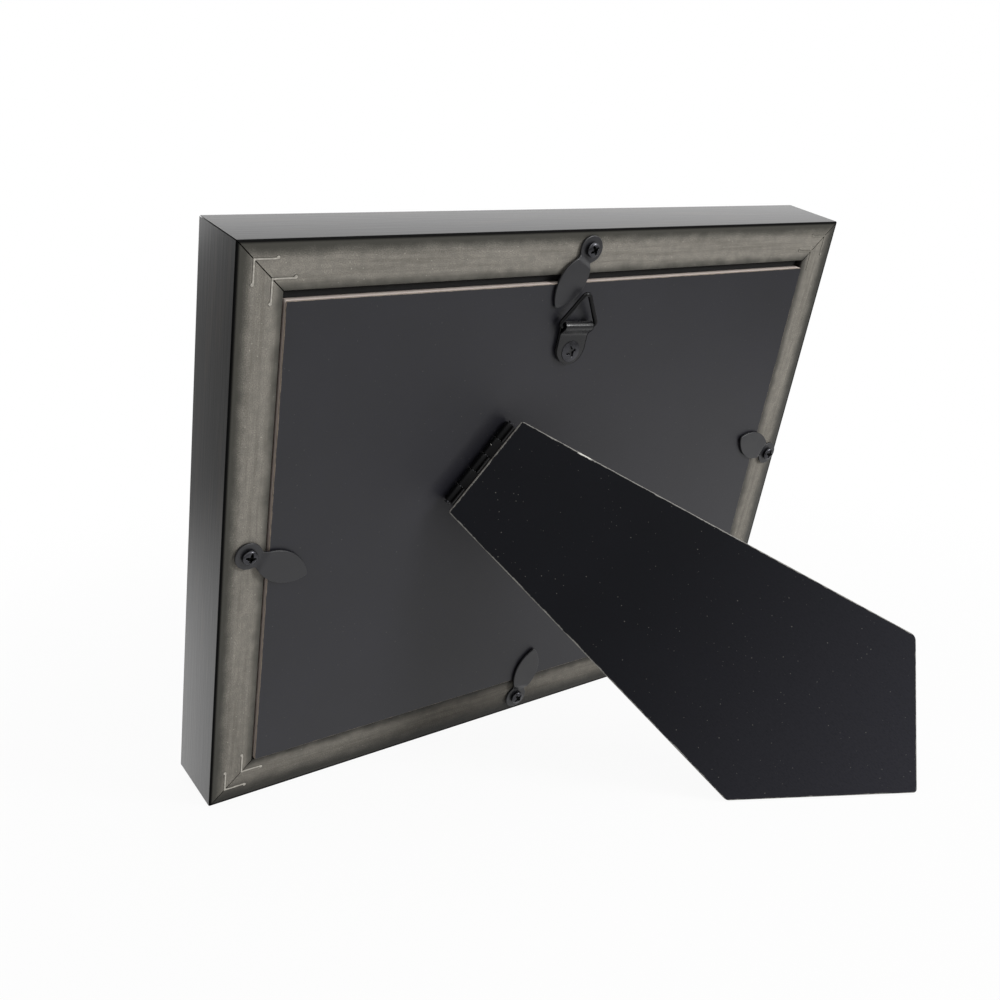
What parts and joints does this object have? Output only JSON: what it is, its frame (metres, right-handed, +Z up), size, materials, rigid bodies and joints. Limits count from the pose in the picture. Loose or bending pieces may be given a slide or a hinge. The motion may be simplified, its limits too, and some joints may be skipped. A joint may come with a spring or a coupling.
{
  "type": "guitar pick display frame",
  "caption": "Landscape picture frame for guitar picks with a hinged strut stand, turn buttons and a hanging ring on its back.",
  "frame": {"origin": "on the table under the middle of the whole object's box, with the strut open", "axes": "+X to the right as seen from the front, the front facing -Y, the strut behind at +Y, +Z up"},
  "size_m": [0.231, 0.1488, 0.18],
  "materials": {
    "rail_wood": "bare grey-brown wood on the back, satin black paint on the other faces",
    "nail_steel": "bright cut edge",
    "glazing": "clear",
    "mat_card": "matt black",
    "mount_card": "matt cream",
    "pick_brown": "polished",
    "pick_white": "polished",
    "pick_black": "polished",
    "pick_red": "polished",
    "pick_blue": "polished",
    "pick_amber": "polished",
    "backing_board": "fibreboard with satin black paper",
    "strut_board": "fibreboard with black paper, pale at worn edges",
    "black_steel": "satin black",
    "button_steel": "satin black",
    "screw_steel": "black",
    "hanger_steel": "satin black"
  },
  "bodies": {
    "frame": {"rail_bottom": "rail_wood", "rail_right": "rail_wood", "rail_top": "rail_wood", "rail_left": "rail_wood", "v_nail_bottom_left_outer": "nail_steel", "v_nail_bottom_left_inner": "nail_steel", "v_nail_bottom_right_outer": "nail_steel", "v_nail_bottom_right_inner": "nail_steel", "v_nail_top_right_outer": "nail_steel", "v_nail_top_right_inner": "nail_steel", "v_nail_top_left_outer": "nail_steel", "v_nail_top_left_inner": "nail_steel", "glazing": "glazing", "mat_board": "mat_card", "mount_board": "mount_card", "pick_1": "pick_brown", "pick_2": "pick_white", "pick_3": "pick_black", "pick_4": "pick_red", "pick_5": "pick_blue", "pick_6": "pick_amber", "pick_7": "pick_brown", "pick_8": "pick_white", "pick_9": "pick_black", "pick_10": "pick_red", "pick_11": "pick_blue", "pick_12": "pick_amber", "backing_board": "backing_board", "hinge_fixed_leaf": "black_steel", "hinge_pin": "black_steel", "board_rivet_upper": "black_steel", "board_rivet_lower": "black_steel", "button_screw_top": "screw_steel", "button_screw_left": "screw_steel", "button_screw_bottom": "screw_steel", "button_screw_right": "screw_steel", "hanger_strap": "hanger_steel", "hanger_screw": "screw_steel"},
    "strut": {"strut": "strut_board", "hinge_moving_leaf": "black_steel", "strut_rivet_upper": "black_steel", "strut_rivet_lower": "black_steel"},
    "top_button": {"turn_button_top": "button_steel"},
    "left_button": {"turn_button_left": "button_steel"},
    "bottom_button": {"turn_button_bottom": "button_steel"},
    "right_button": {"turn_button_right": "button_steel"},
    "ring": {"hanger_ring": "hanger_steel"}
  },
  "joints": [
    {"name": "strut_fold", "type": "hinge", "parent": "frame", "child": "strut", "pos_m": [0.0319, -0.02374, 0.10409], "axis": [-0.6428, 0.1835, 0.7437], "range_deg": [0, 42]},
    {"name": "top_button_turn", "type": "hinge", "parent": "frame", "child": "top_button", "pos_m": [0.0001, -0.01058, 0.16892], "axis": [0, 0.9709, -0.2396], "range_deg": [-58, 0]},
    {"name": "left_button_turn", "type": "hinge", "parent": "frame", "child": "left_button", "pos_m": [0.1075, -0.03089, 0.08659], "axis": [0, 0.9709, -0.2396], "range_deg": [-63, 117]},
    {"name": "bottom_button_turn", "type": "hinge", "parent": "frame", "child": "bottom_button", "pos_m": [-0.0032, -0.0508, 0.00591], "axis": [0, 0.9709, -0.2396], "range_deg": [-79, 101]},
    {"name": "right_button_turn", "type": "hinge", "parent": "frame", "child": "right_button", "pos_m": [-0.11, -0.03082, 0.08689], "axis": [0, 0.9709, -0.2396], "range_deg": [-63, 116]},
    {"name": "ring_swing", "type": "hinge", "parent": "frame", "child": "ring", "pos_m": [0.0019, -0.01363, 0.14527], "axis": [-0.998, -0.015, -0.061], "range_deg": [-4, 130]}
  ]
}
